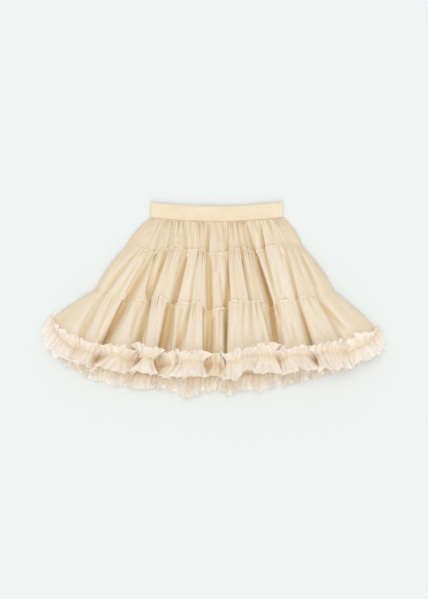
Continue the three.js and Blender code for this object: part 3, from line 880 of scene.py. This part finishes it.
def net_pattern(tree):
    """Threads of the net, in space, one cell apart."""
    where = add_node(tree, "ShaderNodeTexCoord")
    cells = add_node(tree, "ShaderNodeTexVoronoi", feature="DISTANCE_TO_EDGE")
    set_inputs(cells, {"Scale": 1 / (NET["cell"] * MM), "Randomness": NET["uneven"]})
    tree.links.new(where.outputs["Object"], cells.inputs["Vector"])
    return cells.outputs["Distance"]


def ramp(tree, factor, stops):
    """A colour between stops, each a place from 0 to 1 and six hex digits."""
    node = add_node(tree, "ShaderNodeValToRGB")
    elements = node.color_ramp.elements
    while len(elements) < len(stops):
        elements.new(0.5)
    for element, (place, code) in zip(elements, stops):
        element.position = place
        element.color = linear(code)
    tree.links.new(factor, node.inputs["Fac"])
    return node.outputs["Color"]


def add_up(tree, *values):
    """The sum of two values, kept from 0 to 1."""
    node = add_node(tree, "ShaderNodeMath", operation="ADD", use_clamp=True)
    for socket, value in zip(node.inputs, values):
        tree.links.new(value, socket)
    return node.outputs[0]


def remap(tree, value, low, high):
    node = add_node(tree, "ShaderNodeMapRange")
    set_inputs(node, {"To Min": low, "To Max": high})
    tree.links.new(value, node.inputs["Value"])
    return node.outputs["Result"]


def add_bump(tree, shader, height, bump):
    """Relief of a strength from 0 to 1 and a depth in millimetres."""
    node = add_node(tree, "ShaderNodeBump")
    set_inputs(node, {"Strength": bump["strength"], "Distance": bump["depth"] * MM})
    tree.links.new(height, node.inputs["Height"])
    tree.links.new(node.outputs["Normal"], shader.inputs["Normal"])


def mottle(tree, shader, size):
    """Two close shades in soft patches."""
    where = add_node(tree, "ShaderNodeTexCoord")
    noise = add_node(tree, "ShaderNodeTexNoise")
    set_inputs(noise, {"Scale": size["scale"]})
    tree.links.new(where.outputs["Object"], noise.inputs["Vector"])
    tree.links.new(ramp(tree, noise.outputs["Fac"], size["colours"]), shader.inputs["Base Color"])


def weave_bands(tree, size):
    """Bands about a pitch apart."""
    where = add_node(tree, "ShaderNodeTexCoord")
    bands = add_node(tree, "ShaderNodeTexWave", wave_type="BANDS", bands_direction=size["direction"])
    set_inputs(bands, {"Scale": 1 / (math.pi * size["pitch"] * MM), "Distortion": size["distortion"]})
    tree.links.new(where.outputs["Object"], bands.inputs["Vector"])
    return bands.outputs["Fac"]


def tulle_material(name):
    """Fine net: colour picked by the painted shade of its folds, with streaks, and seen through a
    little.
    """
    cloth = CLOTHS[name]
    material, tree, shader = new_material(name, "tulle")
    # Painted shade from the folds, made uneven by the streaks, picks the colour
    painted_shade = add_node(tree, "ShaderNodeAttribute", attribute_name="painted_shade").outputs["Fac"]
    streaks = stretched_noise(tree, cloth["streaks"], STREAKS)
    pleats = stretched_noise(tree, cloth["streaks"], PLEATS)
    painted_shade = add_up(tree, painted_shade, remap(tree, streaks, -STREAKS["shade"], STREAKS["shade"]))
    painted_shade = add_up(tree, painted_shade, remap(tree, pleats, -PLEATS["shade"], PLEATS["shade"]))
    tree.links.new(ramp(tree, painted_shade, cloth["colours"]), shader.inputs["Base Color"])
    tree.links.new(remap(tree, streaks, *cloth["opacity"]), shader.inputs["Alpha"])
    threads = remap(tree, net_pattern(tree), NET["thread"], 0)
    add_bump(tree, shader, add_up(tree, threads, streaks), NET_BUMP)
    return material


def thread_material():
    """Thin cotton thread, a shade darker than the cloth, with a fine twist."""
    material, tree, shader = new_material("thread", "thread")
    mottle(tree, shader, THREAD_TWIST)
    return material


def elastic_material():
    """Woven elastic: fine ribs along the band and short cross threads."""
    material, tree, shader = new_material("elastic_weave", "elastic")
    mottle(tree, shader, ELASTIC_MOTTLE)
    weave = add_node(tree, "ShaderNodeMath", operation="MULTIPLY", use_clamp=True)
    tree.links.new(weave_bands(tree, RIBS), weave.inputs[0])
    tree.links.new(weave_bands(tree, CROSS_THREADS), weave.inputs[1])
    add_bump(tree, shader, weave.outputs[0], ELASTIC_BUMP)
    return material


# Tiers

def add_tiers(material):
    """Adds both halves of each tier and gives the grids and rows along which they are sewn."""
    seams = []
    for tier in TIERS:
        front = front_grid(tier)
        add_half_tier(tier, "front", front, material)
        if tier["top"] > 0:
            points, _, _, down = front
            seams.append((points, int(np.argmin(np.abs(down[:, 0] - SEWN_BELOW_SEAM)))))
        add_half_tier(tier, "back", back_grid(tier), material)
    return seams


def add_half_tier(tier, half, grid, material):
    """A half of a tier, as a sheet in place of its solid."""
    piece = grid_piece(f"{tier['name']}_{half}_tulle", grid, material)
    place_sheet(piece, f"{tier['name']}_{half}")


# Ruffle

def on_front(across, down):
    """The front of the last tier at one share down it: points, sides and depths."""
    return front_sheet(LAST_TIER, across, np.full_like(across, down))


def on_back(across, down):
    """The back of the last tier at one share down it, which has no valleys."""
    points, side = back_sheet(LAST_TIER, across, np.full_like(across, down))
    return points, side, 0 * side


def spread_columns(path):
    """Shares across a path that put an even number of points on each wave along its length."""
    lengths = lengths_along(path)
    columns = int(lengths[-1] / WAVE_LENGTH * POINTS_PER_WAVE) + 1
    distance = np.linspace(0, lengths[-1], columns)
    return np.interp(distance, lengths, np.linspace(0, 1, len(path))), distance


def frill_rows(below):
    """Distances from the stitches, from the upper free edge to the lower, and shares of them."""
    upper = np.linspace(1, 0, FRILL_ROWS_ABOVE, endpoint=False)
    lower = np.linspace(0, 1, FRILL_ROWS_BELOW)
    along = np.concatenate([-FRILL_ABOVE * upper, below * lower])
    return along[:, None], np.concatenate([upper, lower])[:, None]


def blur(values, reach):
    """A running average along the columns."""
    kernel = np.hanning(2 * reach + 3)[1:-1]
    kernel = kernel / kernel.sum()
    padded = np.pad(values, ((reach, reach), (0, 0)), mode="edge")
    return np.stack([np.convolve(padded[:, n], kernel, mode="valid") for n in range(3)], axis=-1)


def lay_ruffle(sheet, samples, stitched_at, below, seed):
    """What both halves of the ruffle share: columns along the stitches, rows across, and waves."""
    path, _, _ = sheet(np.linspace(0, 1, samples), stitched_at)
    across, distance = spread_columns(path)
    edge, _, depth = sheet(across, stitched_at)
    above, _, _ = sheet(across, RUN_OUT_START)
    _, side, _ = sheet(across, 1.0)
    along, reach = frill_rows(below)
    upper = np.where(along < 0, 1.0, 0.0)
    height, sway = frill_waves(distance, reach, upper, seed)
    return SimpleNamespace(
        distance=distance, edge=edge, above=above, side=side, depth=depth,
        tangent=unit(np.gradient(edge, axis=0)), along=along, reach=reach, upper=upper,
        height=height, sway=sway, measures=np.broadcast_arrays(across[None, :], reach))


def frill_waves(distance, reach, upper, seed):
    """Height and sideways sway of the ruffle's waves, from -1 to 1, in three uneven sizes."""
    height = 0.0
    sway = 0.0
    for n, size in enumerate(FRILL_WAVES):
        place = distance / size["length"]
        phase = 2 * math.pi * place + change("wave_place", place, seed + n)
        turn = WAVE_BEND_LENGTH * reach + change("wave_bend", place, seed + n)[None]
        drift = WAVE_DRIFT * reach * change("wave_drift", place, seed + n)[None]
        bend = WAVE_BEND * np.sin(turn) + drift
        phase = phase[None, :] + upper * size["turn"] + bend
        grown = mix(size["at_stitches"], size["at_edge"], reach)
        grown = grown * (1 + change("wave_height", place, seed + n)[None])
        height = height + grown * ridges(phase)
        sway = sway + grown * (np.sin(phase + SWAY_AHEAD) + SECOND_SWAY * np.sin(2 * phase))
    return height, sway


def shorten_ends(along, ruffle):
    """The upper frill is shorter beside the side seams."""
    return along * (1 - ruffle.upper * END_SHORTER * np.abs(ruffle.side)[None] ** END_POWER)


def run_out(ruffle, reach):
    """Level directions in which the cloth runs out over its edge."""
    out = ruffle.edge - ruffle.above
    out[:, 2] = 0
    return unit(blur(unit(out), reach))


def uneven_edge(half, ruffle):
    """How far the frills reach at each point, as a share of their height."""
    uneven = EDGE_UNEVEN[half]
    slow = uneven["slow"] * ruffle.reach * change(f"{half}_edge", ruffle.distance)[None]
    return 1 + slow + uneven["waves"] * ruffle.reach * ruffle.height


def front_stand(ruffle):
    """How far the front's frills stand up from the cloth, in radians."""
    stand = stand_angle(ruffle) + WAVE_STAND * ruffle.reach * ruffle.height
    return np.clip(stand, *STAND_LIMITS) * (1 - VALLEY_FLATTER * ruffle.depth)


def stand_angle(ruffle):
    """Uneven lobes, each folded at its own angle."""
    distance = ruffle.distance
    phase = 2 * math.pi * distance / LOBE_LENGTH + change("lobe_place", distance)
    lobes = LOBE_SHARE * ridges(phase) + change("lobe", distance)
    behind = LOWER_LOBES["share"] * np.roll(lobes, LOWER_LOBES["behind"])
    lobes_below = change("lower_lobe", distance) + behind
    above = UPPER_STAND["mean"] + UPPER_STAND["change"] * lobes
    below = LOWER_STAND["mean"] + LOWER_STAND["change"] * lobes_below
    return mix(below[None], above[None], ruffle.upper) * mix(STAND_AT_STITCHES, 1, ruffle.reach)


def front_calm(ruffle):
    """Share of their size that waves keep, in the valleys and where the edge runs up or down."""
    upright = blur(np.abs(ruffle.tangent), POINTS_PER_WAVE)[:, 2]
    return (1 - VALLEY_CALMER * ruffle.depth) * (1 - UPRIGHT_CALMER * upright)


def front_ruffle_grid():
    """Points of the front's ruffle, its painted shade and its own measures."""
    ruffle = lay_ruffle(on_front, FRONT_PATH_POINTS, STITCHED_AT, FRILL_BELOW, FRONT_WAVES_SEED)
    taller = ruffle.upper * ruffle.reach * lobe_sizes(TALL_LOBES, ruffle.edge[:, 0])[None]
    along = shorten_ends(ruffle.along - taller, ruffle)
    stand = front_stand(ruffle)
    level = along * np.cos(stand)
    down = STITCHED_AT + np.minimum(level, 0) / LAST_TIER["length"]
    base, side, depth = front_sheet(LAST_TIER, ruffle.measures[0], down)
    lift = side_lift(side)
    calm = front_calm(ruffle)
    swing = FRONT_SWING * mix(SWING_AT_STITCHES, 1, ruffle.reach) * calm
    rise = np.abs(along) * np.sin(stand) + swing * (1 + ruffle.height)
    slope = unit(np.cross(ruffle.edge - ruffle.above, ruffle.tangent))
    normal = unit(blur(slope, POINTS_PER_WAVE))
    outward = run_out(ruffle, 3 * POINTS_PER_WAVE)
    out = np.maximum(level, 0) * uneven_edge("front", ruffle) * (1 - VALLEY_SHORTER * ruffle.depth)
    points = base + normal[None] * (RUFFLE_OFF_TIER + rise * lift)[..., None]
    points = points + outward[None] * out[..., None]
    points = points + ruffle.tangent[None] * (FRONT_SWAY * ruffle.sway * lift * calm)[..., None]
    points = flare_ends(points, side, outward, along)
    points = lean_over(pinch_bells(points, ruffle.reach))
    painted_shade = frill_painted_shade(ruffle, FRILL_PAINTED_SHADE["valley"] * depth, FRILL_PAINTED_SHADE["front_middle"])
    return points, painted_shade, *ruffle.measures


def pinch_bells(points, reach):
    """Draws the stitched middle of the ruffle together under the narrow bells."""
    points = points.copy()
    x = points[..., 0]
    for pinch in PINCHES:
        near = plateau(x, pinch["x"], pinch["width"])
        x -= pinch["pull"] * (x - pinch["x"]) * near * (1 - reach) ** PINCH_POWER
    return points


def lean_over(points):
    """The highest tips of the frill lean over instead of standing up."""
    over = np.maximum(points[..., 2] - TIP_HEIGHT, 0)
    points[..., 2] -= over - TIP_ROOM * np.tanh(over / TIP_ROOM)
    return points


def lobe_sizes(lobes, x):
    """How much further the frill reaches at x."""
    return sum(lobe["out"] * hump(x, lobe["x"], lobe["width"]) for lobe in lobes)


def frill_painted_shade(ruffle, valley, middle):
    """Painted shade in the troughs, valleys and stitched middle, and a painted highlight on the free
    edges.
    """
    trough = np.clip(0.5 - 0.5 * ruffle.height, 0, 1)
    painted_shade = FRILL_PAINTED_SHADE["trough"] * trough * (1 - FRILL_PAINTED_SHADE["fade"] * ruffle.reach)
    painted_shade = painted_shade + middle * (1 - ruffle.reach) ** MIDDLE_POWER + valley
    edge = smooth((ruffle.reach - FRILL_EDGE_HIGHLIGHT["start"]) / FRILL_EDGE_HIGHLIGHT["run"])
    return np.clip(painted_shade * (1 - FRILL_EDGE_HIGHLIGHT["lighter"] * edge), 0, 1)


def flare_ends(points, side, outward, along):
    """Beside the side seams the ruffle turns round the edge, so it fans out and sinks."""
    near = np.clip(1 - ((along - END_FLARE["middle"]) / END_FLARE["reach"]) ** 2, 0, 1)
    share = side ** FLARE_POWER * near
    turn = np.where(side < 0, -1, 1)
    sideways = np.stack([-outward[:, 1], outward[:, 0], 0 * outward[:, 0]], axis=-1)
    points = points + sideways[None] * (turn * END_FLARE["out"] * share)[..., None]
    points[..., 2] *= 1 - END_FLARE["sink"] * share
    return points


def back_ruffle_grid():
    """Points of the back's ruffle, which lies on the surface, its painted shade and its own measures.
    """
    ruffle = lay_ruffle(on_back, BACK_PATH_POINTS, 1.0, BACK_FRILL_BELOW, BACK_WAVES_SEED)
    along = shorten_ends(ruffle.along, ruffle)
    outward = run_out(ruffle, POINTS_PER_WAVE)
    lower = 1 - ruffle.upper
    lift = lower * side_lift(ruffle.side)[None, :]
    lobes = lobe_sizes(HEM_LOBES, ruffle.edge[:, 0])
    out = along * uneven_edge("back", ruffle) + lower * ruffle.reach * lobes[None]
    wave = 1 + change("back_stand", ruffle.distance)[None] + ruffle.height
    stand = BACK_STAND * ruffle.reach * np.clip(wave, 0, None)
    edge = ruffle.edge.copy()
    edge[:, 2] = BACK_HEIGHT
    points = edge[None] + outward[None] * out[..., None]
    points[..., 2] += lift * (BACK_SWING * np.maximum(1 + ruffle.height, 0) + out * np.sin(stand))
    points = points + ruffle.tangent[None] * (BACK_SWAY * ruffle.sway * lift)[..., None]
    points = flare_ends(points, ruffle.side[None], outward, along)
    return points, frill_painted_shade(ruffle, 0, FRILL_PAINTED_SHADE["back_middle"]), *ruffle.measures


def add_ruffles(front_material, lightened_back_material):
    """Adds both halves of the ruffle and gives their grids and stitched rows."""
    seams = []
    halves = (("front", front_ruffle_grid(), front_material),
              ("back", back_ruffle_grid(), lightened_back_material))
    for half, grid, material in halves:
        points = grid[0]
        piece = grid_piece(f"hem_ruffle_{half}_tulle", grid, material)
        seams.append((points, FRILL_ROWS_ABOVE))
        place_sheet(piece, f"hem_ruffle_{half}")
    return seams


# Waistband

def band_outline(inset):
    """The flattened ring's section, as x and height, at a distance inside its outer face."""
    radius = BAND_THICKNESS / 2 - inset
    left = LINES["waist"]["left_x"] + BAND_END["radius"]
    right = LINES["waist"]["right_x"] - BAND_END["radius"]
    along = np.linspace(left, right, BAND_COLUMNS)
    turn = np.radians(np.linspace(BAND_END["turn"], -BAND_END["turn"], BAND_END["points"]))
    front = np.stack([along, np.full(BAND_COLUMNS, radius)], axis=-1)
    back = np.stack([along[::-1], np.full(BAND_COLUMNS, -radius)], axis=-1)
    right_end = np.stack([right + radius * np.cos(turn), radius * np.sin(turn)], axis=-1)
    left_end = np.stack([left - radius * np.cos(turn[::-1]), radius * np.sin(turn[::-1])], axis=-1)
    return np.concatenate([front, right_end, back, left_end])


def band_profile():
    """Down the band's outer face: share of its height, and share of the wall inward."""
    top = [(1 - up / BAND_HEIGHT, inward) for up, inward in BAND_EDGE]
    middle = [(share, 0) for share in np.linspace(**BAND_ROWS)]
    bottom = [(up / BAND_HEIGHT, inward) for up, inward in reversed(BAND_EDGE)]
    return top + middle + bottom


def band_rows(face, middle, profile):
    """Rings of points round one face of the band."""
    line = LINES["waist"]
    rows = []
    for share, inward in profile:
        x, height = mix(face, middle, 2 * inward).T
        seam_y = line_y(line, np.clip(line_side(line, x), -1, 1)) + BAND_ABOVE_SEAM
        rows.append(np.stack([x, seam_y + BAND_HEIGHT * share, BAND_THICKNESS / 2 + height], -1))
    return rows


def ring_faces(count, around):
    """Quads of a tube that closes on itself in both directions."""
    index = np.arange(count * around).reshape(count, around)
    after = np.roll(index, -1, axis=1)
    below = np.roll(index, -1, axis=0)
    below_after = np.roll(after, -1, axis=0)
    return np.stack([index, below, below_after, after], axis=-1).reshape(-1, 4).tolist()


def add_waistband(material):
    """The elastic: down its outer face and up its inner one."""
    outer = band_outline(0)
    inner = band_outline(ELASTIC_WALL)
    middle = (outer + inner) / 2
    profile = band_profile()
    rows = np.array(band_rows(outer, middle, profile) + band_rows(inner, middle, profile[::-1]))
    piece = add_piece("waistband_elastic", rows, ring_faces(*rows.shape[:2]), material)
    place_sheet(piece, "waistband")


# Stitches

def stitch_row(path, normals):
    """Middles, directions and normals of stitches laid along a path at an even pitch."""
    lengths = lengths_along(path)
    places = np.arange(STITCH_PITCH, lengths[-1] - STITCH_PITCH, STITCH_PITCH)
    middles = read_path(places, lengths, path)
    ahead = read_path(places + STITCH_AHEAD, lengths, path)
    return middles, unit(ahead - middles), unit(read_path(places, lengths, normals))


def read_path(places, lengths, values):
    return np.stack([np.interp(places, lengths, values[:, n]) for n in range(3)], axis=-1)


def add_stitch_piece(name, rows, material):
    """Short plump stitches, joined in one mesh."""
    points = []
    faces = []
    for middles, along, up in rows:
        for middle, forward, top in zip(middles, along, up):
            faces.extend(stitch_faces(len(points)))
            points.extend(stitch_points(middle, forward, top))
    piece = add_piece(name, np.array(points), faces, material)
    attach(piece, "root")


def stitch_points(middle, forward, top):
    """Rings of points along one stitch."""
    turns = np.radians(np.arange(0, 360, 360 // STITCH_SIDES))[:, None]
    ring = np.cos(turns) * np.cross(forward, top) + np.sin(turns) * top
    points = []
    for place, size in STITCH_PROFILE:
        centre = middle + forward * place * STITCH_LENGTH + top * STITCH_RADIUS
        points.extend(centre + ring * STITCH_RADIUS * size)
    return points


def stitch_faces(start):
    """Quads round a stitch and a face at each end."""
    around = range(STITCH_SIDES)
    last = start + (len(STITCH_PROFILE) - 1) * STITCH_SIDES
    faces = []
    for low in range(start, last, STITCH_SIDES):
        high = low + STITCH_SIDES
        for c in around:
            after = (c + 1) % STITCH_SIDES
            faces.append((low + c, low + after, high + after, high + c))
    faces.append(tuple(start + c for c in reversed(around)))
    faces.append(tuple(last + c for c in around))
    return faces


def grid_stitches(seams):
    """A row of stitches along one row of each grid, on its upper face."""
    rows = []
    for points, row in seams:
        down = np.gradient(points, axis=0)[row]
        along = np.gradient(points, axis=1)[row]
        rows.append(stitch_row(points[row], unit(np.cross(down, along))))
    return rows


def band_stitches(face):
    """The row of stitches a little above the band's lower edge, on its front (1) or back (-1)."""
    line = LINES["waist"]
    x = np.linspace(line["left_x"] + BAND_STITCHES_IN, line["right_x"] - BAND_STITCHES_IN,
                    BAND_STITCH_SAMPLES)
    y = line_y(line, line_side(line, x)) + BAND_STITCHES_UP
    z = BAND_THICKNESS / 2 + face * (BAND_THICKNESS / 2 - STITCH_SUNK)
    path = np.stack([x, y, np.full_like(x, z)], axis=-1)
    return stitch_row(path, np.broadcast_to(np.array([0.0, 0.0, face]), path.shape))


def add_stitches(tier_seams, ruffle_seams, material):
    """Stitches along the seams, the middle of the ruffle and the waistband."""
    add_stitch_piece("seam_stitches", grid_stitches(tier_seams), material)
    add_stitch_piece("ruffle_stitches", grid_stitches(ruffle_seams), material)
    add_stitch_piece("waistband_stitches", [band_stitches(1), band_stitches(-1)], material)


# Stage

def add_floor():
    bpy.ops.mesh.primitive_plane_add(size=FLOOR_SIZE, location=(0, 0, -FLOOR_BELOW))
    floor = bpy.context.object
    floor.name = "floor"
    material, _, _ = new_material("floor_paper", "floor")
    floor.data.materials.append(material)


def add_lights():
    world = bpy.data.worlds.new("studio")
    bpy.context.scene.world = world
    world.use_nodes = True
    set_inputs(world.node_tree.nodes["Background"], SKY)
    for lamp in LAMPS:
        add_lamp(**lamp)


def add_lamp(name, energy, spread, turn):
    """A soft lamp far away, turned about X and Y from straight down, in degrees."""
    lamp = bpy.data.lights.new(name, "SUN")
    lamp.energy = energy
    lamp.angle = math.radians(spread)
    holder = bpy.data.objects.new(name, lamp)
    holder.rotation_euler = (math.radians(turn[0]), math.radians(turn[1]), 0)
    bpy.context.scene.collection.objects.link(holder)


def add_camera():
    """Straight above the middle of the skirt, as the photo is taken."""
    camera = bpy.data.cameras.new("camera")
    camera.lens = LENS
    camera.sensor_width = SENSOR
    camera.clip_end = FAR_END
    eye = bpy.data.objects.new("camera", camera)
    eye.location = (0, 0, FRAME_HEIGHT * LENS / SENSOR + FRAME_LEVEL)
    bpy.context.scene.collection.objects.link(eye)
    bpy.context.scene.camera = eye


add_camera()
add_lights()
add_floor()
tulle = tulle_material("tulle_net")
front_ruffle_tulle = tulle_material("ruffle_net")
# A lighter copy of the ruffle net for the back, as painted light under the front frill
back_ruffle_lightened_tulle = tulle_material("back_ruffle_lightened_net")
add_waistband(elastic_material())
tiers_sewn = add_tiers(tulle)
ruffles_sewn = add_ruffles(front_ruffle_tulle, back_ruffle_lightened_tulle)
add_stitches(tiers_sewn, ruffles_sewn, thread_material())

bpy.context.scene.view_settings.view_transform = "Standard"
bpy.context.scene.cycles.transparent_max_bounces = NET_LAYERS

bpy.context.view_layer.update()
